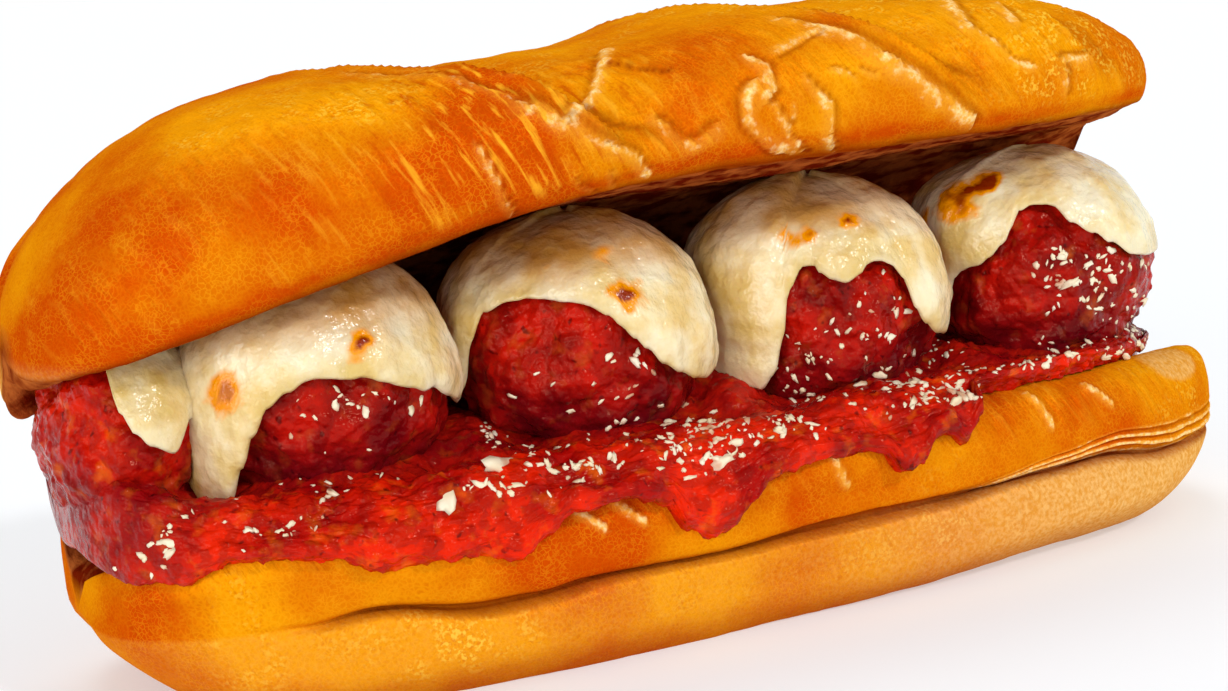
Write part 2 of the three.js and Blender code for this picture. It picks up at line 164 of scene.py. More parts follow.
# Where the base's crust has baked redder, or stayed more golden: the middle, the radius, and how much.
# The golden spot near the base's left end is there to carry painted glints.
BASE_SCORCHES = [
    ((-70, -38, 21), 6, 0.5), ((-84, -36, 18), 9, -0.5), ((-52, -38, 8), 12, -0.3),
    ((-30, -39, 20), 10, 0.3), ((30, -39, 22), 12, -0.25), ((-96, -20, 16), 10, 0.4),
    ((5, -39, 21), 8, 0.25), ((62, -39, 22), 9, 0.3),
]

# Short folds down the base's lip, from the filling's edge.
LIP_FOLDS = [
    [(-31, -38.3, 25.4), (-28, -39.4, 22.6)], [(-24.5, -38.3, 25.4), (-21, -39.4, 22.4)],
    [(11.5, -39.2, 26), (13.5, -39.6, 21.6)], [(51, -35, 29), (53.5, -37.8, 24)],
    [(63, -35, 29.5), (67, -38, 26)],
]

# The sauce's front edge: (x, height) where it ends on the front lip.
SAUCE_EDGE = [
    (-101, 25), (-94, 22.5), (-88, 22.6), (-81, 25.5), (-74, 25.8), (-67, 24.8), (-62, 22), (-57, 22.4),
    (-49, 22.2), (-42, 22), (-37, 24.3), (-33, 26.4), (-22, 26), (-17.5, 24.6), (-15, 20.4), (-11, 18.6),
    (-7.5, 19.4), (-4.5, 22), (-1, 25), (6, 27), (14, 26.8), (19.5, 26.2), (22.5, 23), (26, 23.8),
    (29, 26.4), (32.5, 26.6), (35, 24.2), (37.5, 27), (40, 31.4), (57, 32.3), (72, 31.2), (95, 31),
]

# Where the sauce wells up, between the meatballs and round the left one: (x, extra height, half width).
SAUCE_WELLS = [(-97, 9, 9), (-38, 4.5, 6), (5, 5, 6), (49, 4, 6)]

# Slashes across the lid's crust: the x of each at the crown and at the front edge, and its depth.
SLASHES = [(-48, -14, 3.4), (8, 44, 3.2), (50, 72, 1.6)]

# Torn, lifted and flaking edges of the lid's crust: points along each, its half width, how far it stands up,
# and how pale it is.
TEARS = [
    ([(-50, -10, 90), (-44, -22, 90), (-38, -31, 87.5), (-32.8, -36.7, 85)], 1.3, 0.7, 0.5),
    ([(-32.8, -36.7, 85), (-30.5, -38, 83.8), (-28.7, -38.9, 82.2)], 1.5, 0.3, 0.8),
    ([(-27.4, -39, 83), (-24.6, -37.4, 85.3), (-20.3, -32.5, 87.3), (-13, -20.8, 89.1)], 1.0, 0.9, 1.0),
    ([(-27.2, -39.3, 81.9), (-24.6, -39.9, 80.3), (-21.7, -40.2, 78.6)], 1.4, 0.5, 0.6),
    ([(-21.7, -40.2, 78.6), (-17.9, -39.8, 76.9), (-15, -37.8, 73.4)], 0.9, 0.8, 0.9),
    ([(-41.2, -38.5, 80.2), (-39.8, -39.3, 76.5), (-38.6, -38.9, 72.8), (-35.9, -35.9, 69.5)], 0.7, 0.8,
     0.7),
    ([(-26.5, -39, 74), (-22.8, -36, 71)], 0.6, 0.5, 0.6),
    ([(-21.5, -38.8, 74.3), (-20, -36.7, 72.1)], 0.6, 0.5, 0.5),
    ([(-14.8, -26.8, 87.1), (-11.6, -30.5, 86.8), (-7.7, -33.1, 86.5)], 0.9, -0.8, 0.0),
    ([(16, -27.8, 92.5), (19.1, -32, 90.9), (22.2, -34.1, 89.7), (25.3, -36.1, 88), (27.2, -37.7, 86)], 1.8,
     0.8, 0.9),
    ([(27.2, -37.7, 86), (31, -38.8, 83.4), (35.8, -39, 79.5), (38.7, -38.6, 77.2), (42.3, -37.3, 74.9)],
     1.5, 0.9, 0.8),
    ([(17.3, -33.1, 90.2), (13.7, -34.2, 89.5), (9.4, -35.5, 88.2)], 0.9, 0.5, 0.8),
    ([(5, -35.4, 88.1), (6.5, -36.4, 86.7), (7.2, -38.3, 83), (5.5, -38.5, 82)], 1.0, 1.0, 1.0),
    ([(5.5, -38.5, 82), (8.4, -38.7, 77.2), (10.5, -37.8, 74.8), (12.6, -36.3, 73.1)], 0.6, 0.7, 0.9),
    ([(9, -37.1, 74), (4.8, -37.8, 74.7), (2.3, -38.6, 76.8), (1, -38.6, 79.5), (0.7, -37.9, 82.6),
     (3.2, -37, 84)], 1.1, 0.6, 0.8),
    ([(9.4, -38.8, 80.1), (9.3, -38.9, 78), (8.4, -38.7, 77.2)], 0.5, 0.5, 0.8),
    ([(13.3, -38.2, 84), (14, -38.7, 82.4), (16, -38.9, 80.1), (15.4, -38.6, 76.8), (17.6, -36.4, 73.3)],
     0.9, 0.8, 1.0),
    ([(-11.9, -37.5, 80.7), (-10.5, -38.5, 77.9), (-7.5, -38.8, 76.6), (-4.9, -38.6, 78.5)], 1.3, 0.4, 0.6),
    ([(17.9, -37.8, 85.3), (20, -38.5, 83.3)], 0.6, 0.4, 0.8),
    ([(22, -38.2, 84.6), (23.5, -38.5, 83.7)], 0.6, 0.4, 0.8),
    ([(49, -20.4, 91.7), (48, -24, 90.8), (46.5, -27.3, 89.3), (46.1, -30.7, 87.5)], 1.3, 0.6, 0.9),
    ([(46.1, -30.7, 87.5), (49, -33.8, 84.7), (51.1, -35.2, 82.7), (53.8, -35.4, 82)], 0.7, 0.6, 0.8),
    ([(55.4, -27.8, 90.1), (54.4, -31.2, 88.1)], 1.2, 0.5, 0.8),
    ([(61.2, -34.5, 82.7), (67.1, -33.1, 82.1)], 0.9, 0.5, 0.8),
    ([(61.7, -35, 80.7), (61.4, -35.2, 77.7)], 1.0, 0.5, 0.7),
]

# Where the lid's crust has baked redder, or stayed more golden: the middle, the radius, and how much.
# The golden spots high on the lid's left half are painted highlight patches, where the painted glints also
# gather.
SCORCHES = [
    ((-88, -15, 79.5), 11, 0.5), ((-70.8, -32, 80), 12, 0.5), ((-94, -23, 70), 12, 0.35),
    ((-50, -37, 79), 9, 0.35), ((-38, -38, 76), 9, 0.3), ((-1, -24, 90), 10, 0.3),
    ((-68, -27, 85), 9, -0.6), ((-53, -31, 86), 9, -0.6), ((-79, -21, 83), 8, -0.4),
    ((12, -38, 78), 10, -0.2), ((60, -33, 82), 14, -0.25), ((-104, -10, 60), 10, 0.3),
]

# Grated cheese fallen on the front: the middle of each patch (x, z), its half sizes, how many grains, and how
# large they are.
SPRINKLES = [
    (-89, 34, 6, 5, 16, 1), (-91, 36, 4, 2.5, 4, 2), (-72, 31, 9, 2, 12, 0.8), (-62, 50, 11, 4, 18, 0.9),
    (-64, 38, 10, 5, 16, 0.8), (-45, 30, 6, 2, 16, 1), (-50, 29.5, 1, 0.5, 1, 2.8),
    (-41.7, 33.5, 0.5, 0.5, 1, 2.6), (-39, 46, 3, 5, 18, 0.9), (-36, 36, 3, 6, 12, 1),
    (-20, 46, 12, 10, 40, 1), (-30, 31, 8, 3, 24, 0.9), (-14, 31, 9, 3, 30, 0.9), (-7, 34, 6, 5, 50, 1),
    (-8, 27, 5, 3, 20, 1), (3, 31, 7, 4, 34, 1), (-8, 26.5, 1, 0.7, 2, 2.6), (14, 45, 3, 5, 26, 0.9),
    (24, 46, 10, 9, 40, 1), (20.1, 46, 0.3, 0.3, 1, 2.2), (31, 36.5, 4, 4, 44, 1.1),
    (37, 32, 4, 2.5, 22, 1.5), (27, 31, 7, 2, 20, 1), (44, 47, 4, 6, 22, 0.9), (53, 36, 11, 1.8, 46, 1.1),
    (62, 52, 3, 5, 26, 1.3), (70, 50, 6, 5, 30, 1.1), (79, 46, 4, 5, 24, 1), (66, 42, 10, 5, 24, 0.8),
    (82, 38, 7, 3, 26, 1), (75, 35, 9, 1.5, 16, 1),
]


SHUFFLE = np.random.default_rng(4).permutation(4096)
SLOPES = np.random.default_rng(5).normal(size=(4096, 3))
SLOPES /= np.linalg.norm(SLOPES, axis=1)[:, None]


def hump(x, centre, width):
    return np.exp(-(((x - centre) / width) ** 2))


def ease(x, start, end):
    """Rises smoothly from 0 to 1 as x goes from start to end."""
    share = np.clip((x - start) / (end - start), 0, 1)
    return share * share * (3 - 2 * share)


def between(a, b, share):
    return a + (b - a) * share


def ripple(x, y, z, size, seed):
    """The broad unevenness of the whole piece, from about -1 to 1, with bumps of one size."""
    waves = [(0.6, 0.7, 0.2, 1.3), (-0.5, 0.4, 0.8, 2.1), (0.3, -0.6, 0.7, 3.7)]
    return sum(np.sin((a * x + b * y + c * z) * (TAU / size) + turn * seed) for a, b, c, turn in waves) / 3


def grain_field(points):
    """Smooth random waves, from about -1 to 1, one unit apart."""
    corner = np.floor(points).astype(int)
    part = points - corner
    fade = part**3 * (part * (part * 6 - 15) + 10)
    total = np.zeros(len(points))
    for step in itertools.product((0, 1), repeat=3):
        x, y, z = ((corner + step) % len(SHUFFLE)).T
        slope = SLOPES[SHUFFLE[(SHUFFLE[(SHUFFLE[x] + y) % len(SHUFFLE)] + z) % len(SHUFFLE)]]
        weight = np.prod(np.where(step, fade, 1 - fade), axis=1)
        total += weight * ((part - step) * slope).sum(axis=1)
    return 1.3 * total


def lumps(points, size, seed, octaves=3):
    """Natural unevenness from about -1 to 1 at each point, with bumps a given size apart."""
    return sum(grain_field(points * 2**k / size + 19.7 * seed + 3.1 * k) / 2**k for k in range(octaves))


def cells(points, size, seed):
    """The distance to the nearest wall of a net of cells of a given size: 0 on a wall and about 1 inside."""
    spots = (points / size + 7.3 * seed).tolist()
    nearest = [noise.voronoi(spot)[0][:2] for spot in spots]
    return np.array([second - first for first, second in nearest])


def stepped(table, x):
    """The heights of a table of (x, height), eased from one to the next."""
    starts, heights = np.array(table).T
    span = np.clip(np.searchsorted(starts, x, side="right") - 1, 0, len(starts) - 2)
    share = (x - starts[span]) / (starts[span + 1] - starts[span])
    return between(heights[span], heights[span + 1], ease(share, 0, 1))


def beside_line(points, path):
    """How far each point near a path is from it, and how far it lies to the path's right, from 0 to 1."""
    path = np.array(path, dtype=float)
    nearest = np.full(len(points), np.inf)
    right = np.zeros(len(points), dtype=bool)
    near = np.flatnonzero(np.all((points > path.min(axis=0) - 7) & (points < path.max(axis=0) + 7), axis=1))
    for start, end in zip(path[:-1], path[1:]):
        run = end - start
        reach = points[near] - start
        share = np.clip(reach @ run / (run @ run), 0, 1)
        away = np.linalg.norm(reach - share[:, None] * run, axis=1)
        closer = near[away < nearest[near]]
        right[closer] = (np.cross(run, reach) @ (0, -1, 0.5) < 0)[away < nearest[near]]
        nearest[near] = np.minimum(nearest[near], away)
    return nearest, ease(np.where(right, nearest, -nearest), -0.6, 0.6)


def laid_on(surface, path, spacing=1.2):
    """A path with points close together, each moved to the nearest point of a surface."""
    path = np.array(path, dtype=float)
    runs = np.linalg.norm(np.diff(path, axis=0), axis=1)
    reach = np.concatenate([[0], np.cumsum(runs)])
    steps = np.linspace(0, reach[-1], max(2, round(reach[-1] / spacing) + 1))
    close = np.stack([np.interp(steps, reach, path[:, axis]) for axis in range(3)], axis=1)
    line = np.array([surface[np.argmin(((surface - point) ** 2).sum(axis=1))] for point in close])
    line[1:-1] = (line[:-2] + 2 * line[1:-1] + line[2:]) / 4
    return line


def smooth_loop(corners, turn):
    """Points on smooth closed loops, and the way each loop runs there. Each corner is a (y, z)."""
    count = len(corners)
    spread = np.zeros_like(turn)
    corners = np.array([[y + spread, z + spread] for y, z in corners])
    start = np.floor(turn * count).astype(int)
    share = turn * count - start
    each = np.arange(len(turn))
    p0, p1, p2, p3 = (corners[(start + step) % count, :, each].T for step in (-1, 0, 1, 2))
    gap0, gap1, gap2 = (np.sqrt(np.hypot(*(b - a))) for a, b in ((p0, p1), (p1, p2), (p2, p3)))
    leave = ((p1 - p0) / gap0 - (p2 - p0) / (gap0 + gap1) + (p2 - p1) / gap1) * gap1
    arrive = ((p2 - p1) / gap1 - (p3 - p1) / (gap1 + gap2) + (p3 - p2) / gap2) * gap1
    square = 3 * (p2 - p1) - 2 * leave - arrive
    cube = 2 * (p1 - p2) + leave + arrive
    point = p1 + leave * share + square * share**2 + cube * share**3
    way = leave + 2 * square * share + 3 * cube * share**2
    return point, way / np.hypot(*way)


def bluntness(along, power):
    return (1 - np.minimum(1, np.abs(along)) ** power) ** (1 / power)


def finished(name, points, mesh, marks, material):
    """A piece in metres from a mesh whose points have been moved, with its marks as attributes."""
    mesh.name = name
    mesh.vertices.foreach_set("co", (points * MM).ravel())
    for label, values in marks.items():
        mesh.attributes.new(label, "FLOAT", "POINT").data.foreach_set("value", values.astype(np.float32))
    mesh.shade_smooth()
    mesh.update()
    mesh.materials.append(material)
    piece = bpy.data.objects.new(name, mesh)
    bpy.context.collection.objects.link(piece)
    return piece


def ball_blank(around, along, pole="Z"):
    """A unit ball of fine even faces with its poles on an axis: its mesh, and its points as an array."""
    shape = bmesh.new()
    turned = Matrix.Rotation(math.pi / 2, 4, "Y") if pole == "X" else Matrix.Identity(4)
    bmesh.ops.create_uvsphere(shape, u_segments=around, v_segments=along, radius=1, matrix=turned)
    bmesh.ops.subdivide_edges(shape, edges=shape.edges, cuts=3, use_grid_fill=True)
    return unit_points(shape)


def unit_points(shape):
    mesh = bpy.data.meshes.new("blank")
    shape.to_mesh(mesh)
    shape.free()
    points = np.empty(len(mesh.vertices) * 3)
    mesh.vertices.foreach_get("co", points)
    points = points.reshape(-1, 3)
    return mesh, points / np.linalg.norm(points, axis=1)[:, None]


def long_blank():
    """A ball with its poles at the two ends of X: its mesh, and each point's turn and row.

    turn runs from 0 to 1 from the middle of the bottom round by the front, and row from -1 to 1 along X."""
    mesh, ball = ball_blank(*LONG_FACES, "X")
    down = np.arccos(np.clip(-ball[:, 0], -1, 1)) / math.pi
    turn = (np.arctan2(-ball[:, 1], -ball[:, 2]) / TAU) % 1
    turn = (turn + 0.5 * np.sin(TAU * (turn - 0.85)) / TAU) % 1  # the faces lie closer together at the front
    return mesh, turn, between(-np.cos(math.pi * down), 2 * down - 1, 0.4)


def skinned(x, turn, row, corners, middle, blunt, relief):
    """The skin of a long piece: a smooth section at each x, closed towards its middle at the ends."""
    point, way = smooth_loop(corners, turn)
    middle_y, middle_z = middle
    y = middle_y + (point[0] - way[1] * relief - middle_y) * bluntness(row, blunt[0])
    z = middle_z + (point[1] + way[0] * relief - middle_z) * bluntness(row, blunt[1])
    return np.stack([x, y, z], axis=1)


# Bottom half of the roll: a flat slab with a deep crease along its side, a rolled lip at the front, a trough
# for the filling, and a wall at the back.
def base_corners(x):
    w = BASE_HALF_WIDTH
    lip = LIP_HEIGHT + 0.8 * np.sin(x / 13) - 2.2 * ease(-x, 60, 100)
    rim = REAR_RIM_HEIGHT - 14 * ease(np.abs(x), 72, 100)
    crease = stepped(CREASE, x)
    depth = CREASE_DEPTH * ease(x, -84, -60)
    bulge = 0.7 * np.sin(x / 17 + 0.6)
    tuck = 1.4 * ease(x, -20, 60)
    return [
        (0, 0), (-w + 18, 0), (-w + 8.5 + tuck, 0.4 + tuck), (-w + 3.6 + tuck / 2, 4 + tuck / 2),
        (-w + 1.8 + bulge, 8), (-w + 1.6, crease - 1.6), (-w + 1.4 + depth, crease),
        (-w + 1.4, crease + 1.3), (-w + 0.4 + bulge, crease + 5),
        (-w + 0.4, lip - 6.5), (-w + 3.4, lip - 1.6), (-w + 9, lip), (-w + 16, lip - 3),
        (-10, 25.5), (12, 26),
        (w - 13, 34), (w - 5.5, rim), (w - 0.6, rim - 5), (w - 0.5, 22), (w - 4, 4), (w - 13, 0),
    ]


def bottom_crust(material):
    mesh, turn, row = long_blank()
    x = BASE_CENTRE_X + BASE_HALF_LENGTH * row
    corners = base_corners(x)
    broad = 0.5 * ripple(x, turn * 200, 0, 34, 1)
    smooth = skinned(x, turn, row, corners, BASE_MIDDLE, BASE_ENDS, broad)

    side = ease(turn, 0.2, 0.24) * (1 - ease(turn, 0.5, 0.54))  # the crust that faces the front
    trough = ease(turn, 0.545, 0.57) * (1 - ease(turn, 0.72, 0.755))
    folds = lumps(smooth * (1 / 3.4, 1 / 9, 1 / 9), 1, 3)
    above = smooth[:, 2] - stepped(CREASE, x)
    stack = 0.5 + 5 * ease(x, 26, 88)
    flakes = ease(x, 22, 46) * side * ease(above, -0.6, 0.4) * (1 - ease(above, stack - 0.6, stack + 0.8))
    sway = 1.5 * lumps(smooth, 12, 5) + lumps(smooth * (0.2, 1, 1), 1.6, 6)
    layers = np.sin(TAU * 3.1 * above / stack + sway)
    creases = np.zeros_like(x)
    for path in LIP_FOLDS:
        away, right = beside_line(smooth, laid_on(smooth, path))
        creases = np.maximum(creases, np.exp(-((away / between(0.5, 1.1, right)) ** 2)))
    crumb = lumps(smooth, 2.4, 8, 4)
    relief = broad + 0.28 * folds * side * ease(smooth[:, 2], 16, 24)
    relief = relief + 0.25 * lumps(smooth, 9, 2) * (1 - trough)
    relief = relief + 0.4 * layers * flakes + 0.7 * crumb * trough + 0.7 * creases
    points = skinned(x, turn, row, corners, BASE_MIDDLE, BASE_ENDS, relief)

    along = (points[:, 0] - BASE_CENTRE_X) / BASE_HALF_LENGTH
    points[:, 0] -= END_TUCK * (1 - ease(points[:, 2], 0, 15)) * along**5
    points[:, 2] = np.maximum(0, points[:, 2] - FOOT_FLAT * (1 - ease(points[:, 2], 0, 14)))
    pale = 0.8 * flakes * ease(layers, -0.3, 0.9)
    pale = pale + 0.25 * ease(folds, 0.3, 0.6) * side * ease(smooth[:, 2], 22, 30)
    upper = ease(above, -0.5, 0.5)
    # The bake also rises towards the bottom edge, so the crust is darker there.
    bake = 0.32 + 0.25 * upper - 0.4 * ease(x, 40, 98) + 0.5 * (1 - ease(points[:, 2], 0, 7))
    for place, radius, more in BASE_SCORCHES:
        away = np.linalg.norm(smooth - place, axis=1) / radius + 0.25 * lumps(smooth, 8, 17)
        bake = bake + more * np.exp(-(away**2))
    soaked = np.linalg.norm((smooth - (85.5, -28.5, 28.5)) * (1 / 9, 1 / 5, 1 / 4), axis=1)
    soft = (1 - upper) * (0.1 + 0.85 * ease(x, 0, 75)) + 0.8 * (1 - ease(soaked, 0.75, 1.0))
    # Painted shade: the crease, the grooves between flaking layers and the bottom edge are darkened.
    painted_crease_shade = hump(above, 0, 0.9) * side * ease(x, -76, -60)
    painted_shade = 0.75 * painted_crease_shade + 0.5 * flakes * ease(-layers, 0.3, 1) + 0.4 * (1 - ease(points[:, 2], 0.5, 8))
    marks = {"crumb": trough, "pale": np.maximum(pale, 0.7 * creases), "bake": bake, "soft": soft,
             "pull": 0.25 * side * ease(smooth[:, 2], 20, 28), "painted_shade": painted_shade}
    return finished("bottom_crust", points, mesh, marks, material)


# Top half of the roll: a domed crust that droops over the left end, slashed and torn across the top.
def lid_droop(x):
    return LID_END_DROOP * np.maximum(0, (14 - x) / 118) ** 2.1


def lid_crown(x):
    nose = np.clip((LID_CENTRE_X - LID_HALF_LENGTH + LID_NOSE_LENGTH - x) / LID_NOSE_LENGTH, 0, 0.985)
    sag = 3.6 * ease(-x, -14, 18) + 7 * ease(x, 64, 98)
    return LID_CROWN_HEIGHT - sag - LID_NOSE_DROP * (1 - np.sqrt(1 - nose * nose))


def lid_corners(x):
    front = LID_FRONT_HEIGHT - lid_droop(x)
    crown = lid_crown(x)
    under = lid_droop(x) * (0.5 + 0.35 * ease(-x, 86, 104))
    back = between(REAR_RIM_HEIGHT, crown, 0.5)
    return [
        (-4, 66.4 - under), (-20, 69.2 - under * 1.2), (-31, front - 0.6), (-36.4, front + 0.6),
        (-39.2, front + 4.2), (-39, between(front, crown, 0.5)), (-35, between(front, crown, 0.76)),
        (-27, between(front, crown, 0.91)), (-15, crown - 0.6), (-2, crown), (12, crown - 1.6),
        (24, crown - 6.5), (33.5, between(back, crown, 0.66)), (39, between(back, crown, 0.2)),
        (41, back - 10), (39, REAR_RIM_HEIGHT - 1 - under * 0.4), (32, REAR_RIM_HEIGHT - 1 - under * 0.4),
        (23, 54.5 - under), (10, 61.5 - under),
    ]


def slash_relief(x, over, edge_wander, cliff):
    """A slash opens to its right: the crust rises into an ear on its left and drops just past it."""
    shown = ease(over, 0.02, 0.3) * (1 - ease(over, 1.25, 1.7))
    relief = np.zeros_like(x)
    bare = np.zeros_like(x)
    painted_cliff_shade = np.zeros_like(x)
    for crown_x, front_x, depth in SLASHES:
        past = x - between(front_x, crown_x, over) + edge_wander
        right = 0.5 - 1.5 * ease(past, 0, cliff) + ease(past, cliff + 1, 24) - 0.12 * hump(past, cliff, 1.5)
        relief += shown * depth * np.where(past < 0, 0.5 * np.exp(np.minimum(past, 0) / 9), right)
        bare += shown * depth / 3 * hump(past, -0.8, 1.5)
        # Painted shade: a dark line at the foot of each slash's drop.
        painted_cliff_shade += shown * depth / 4 * hump(past, cliff + 3, 1.6)
    return relief, bare, painted_cliff_shade


def top_crust(material):
    mesh, turn, row = long_blank()
    over = (turn - 0.2) / 0.27  # 0 at the front edge and 1 at the crown
    x = LID_CENTRE_X + LID_HALF_LENGTH * row
    corners = lid_corners(x)
    middle = (0, LID_MIDDLE_HEIGHT - 0.72 * lid_droop(x))
    broad = 0.6 * ripple(x, turn * 190, 0, 40, 4)
    smooth = skinned(x, turn, row, corners, middle, LID_ENDS, broad)

    wander = 1.6 * lumps(smooth, 9, 11) + 0.7 * lumps(smooth, 3, 12)
    slashes, bare, painted_cliff_shade = slash_relief(x, over, 0.8 * wander, 1.7)
    crust = ease(turn, 0.11, 0.14) * (1 - ease(turn, 0.8, 0.84))
    front = ease(over, -0.1, 0.1) * (1 - ease(over, 0.5, 0.95))
    leaning_x = (x + 0.6 * (smooth[:, 2] - LID_FRONT_HEIGHT)) / 2.4
    folds = lumps(np.stack([leaning_x, smooth[:, 1] / 16, smooth[:, 2] / 18], 1), 1, 13)
    creased = front * (0.12 + 0.88 * hump(x, -36, 24) + 0.4 * ease(x, 45, 60))
    wrinkled = crust * ease(x, 30, 46) * ease(over, -0.1, 0.15) * (1 - ease(over, 1.2, 1.6))
    net = np.ones_like(x)
    busy = wrinkled > 0.02
    net[busy] = cells(smooth[busy] * (1, 0.8, 1.2) + 2.2 * wander[busy, None], 8, 4)
    net_lines = wrinkled * (1 - ease(net, 0, 0.28))

    tears = np.zeros_like(x)
    pale = np.zeros_like(x)
    painted_tear_shade = np.zeros_like(x)
    broken = 0.75 + 0.5 * lumps(smooth, 4, 18)
    for path, width, lift, paleness in TEARS:
        away, right = beside_line(smooth + 0.3 * wander[:, None], laid_on(smooth, path))
        flap = np.exp(-((away / between(0.6 * width, 1.7 * width, right)) ** 2))
        hollow = 0.8 * (1 - right) * hump(away, 0, 1.3 * width)
        tears += 0.5 * lift * (flap * np.maximum(right, lift < 0) - hollow)
        pale = np.maximum(pale, paleness * broken * flap * between(0.5, 1, right))
        # Painted shade beside each tear, on the side away from its flap, and along a sunken tear's groove.
        shade = 0.5 * (1 - right) * hump(away, 0.7 * width, 0.45 * width)
        painted_tear_shade = np.maximum(painted_tear_shade, shade if lift > 0 else 0.8 * np.exp(-((away / (0.5 * width)) ** 2)))
    crumb = 1 - crust
    relief = broad + slashes + 0.85 * folds * creased + 0.35 * lumps(smooth, 8, 14) * crust
    relief = relief + tears * crust + 0.3 * net_lines + 0.4 * lumps(smooth, 3, 15, 4) * crumb
    points = skinned(x, turn, row, corners, middle, LID_ENDS, relief)
    pale = pale + 0.2 * bare * ease(wander, -0.3, 0.5) + 0.12 * net_lines
    bake = 0.4 + 0.3 * ease(-over, -0.75, -0.1) * (1 - ease(x, 0, 60))
    bake = bake + 0.15 * ease(-x, -20, 60) - 0.2 * ease(x, 20, 80)
    # The golden band along the crown is partly painted sheen, and the painted glints gather there.
    bake = bake + 0.4 * hump(over, -0.06, 0.07) - 0.25 * hump(over, 0.85, 0.25)
    for place, radius, more in SCORCHES:
        away = np.linalg.norm(smooth - place, axis=1) / radius + 0.25 * lumps(smooth, 8, 17)
        bake = bake + more * np.exp(-(away**2))
    tip = 0.8 * ease(-x, 92, 102) * (1 - ease(smooth[:, 2], 50, 56))
    pull = 0.85 * creased * (1 - ease(x, 40, 60)) + 0.2 * wrinkled
    # Painted shade: the slash feet, the sides of the tears, and the crust just under the front edge, also
    # soaked there.
    marks = {"crumb": crumb, "pale": np.clip(pale, 0, 1) * crust, "bake": bake, "soft": tip, "pull": pull,
             "painted_shade": np.clip(0.8 * painted_cliff_shade + painted_tear_shade + 0.8 * ease(-over, 0.06, 0.22), 0, 1) * crust}
    return finished("top_crust", points, mesh, marks, material)


# A meatball: rolled by hand, lumpy, and wet with sauce.
def ball_reach(index, way):
    x, y, z = way.T
    even = 1 / np.linalg.norm(way / BALLS[index][1], axis=1)
    return even + 0.6 * ripple(x, y, z, 0.9, index + 2) + 0.4 * ripple(y, z, x, 0.45, index + 7)


def meatball(index, material):
    shape = bmesh.new()
    bmesh.ops.create_icosphere(shape, subdivisions=BALL_SUBDIVISIONS, radius=1)
    mesh, way = unit_points(shape)
    reach = ball_reach(index, way)
    spots = way * reach[:, None]
    seed = 20 + 3 * index
    chunks = lumps(spots, 6.5, seed)
    mince = lumps(spots, 3.6, seed + 1, 3)
    reach = reach + 1.3 * chunks + 0.65 * np.abs(mince) - 0.4
    points = np.array(BALLS[index][0]) + way * reach[:, None]
    # Marks for painted shade: darker in the hollows between lumps, and on the underside.
    return finished(f"saucy_meatball_{index + 1}", points, mesh,
                    {"painted_hollow_shade": mince, "low": 0.6 * ease(-way[:, 2], -0.1, 0.7)}, material)


# A slice of cheese melted over its meatball: it follows the ball to its widest and hangs down from there.
def rim_reach(rim, azimuth):
    starts = np.array([start for start, _ in rim])
    reaches = np.array([reach for _, reach in rim])
    order = np.argsort(starts)
    starts, reaches = starts[order], reaches[order]
    turned = (azimuth - starts[0]) % 360
    steps = np.append(starts - starts[0], 360)
    span = np.clip(np.searchsorted(steps, turned, side="right") - 1, 0, len(rim) - 1)
    share = (turned - steps[span]) / (steps[span + 1] - steps[span])
    return between(reaches[span], reaches[(span + 1) % len(rim)], ease(share, 0, 1))


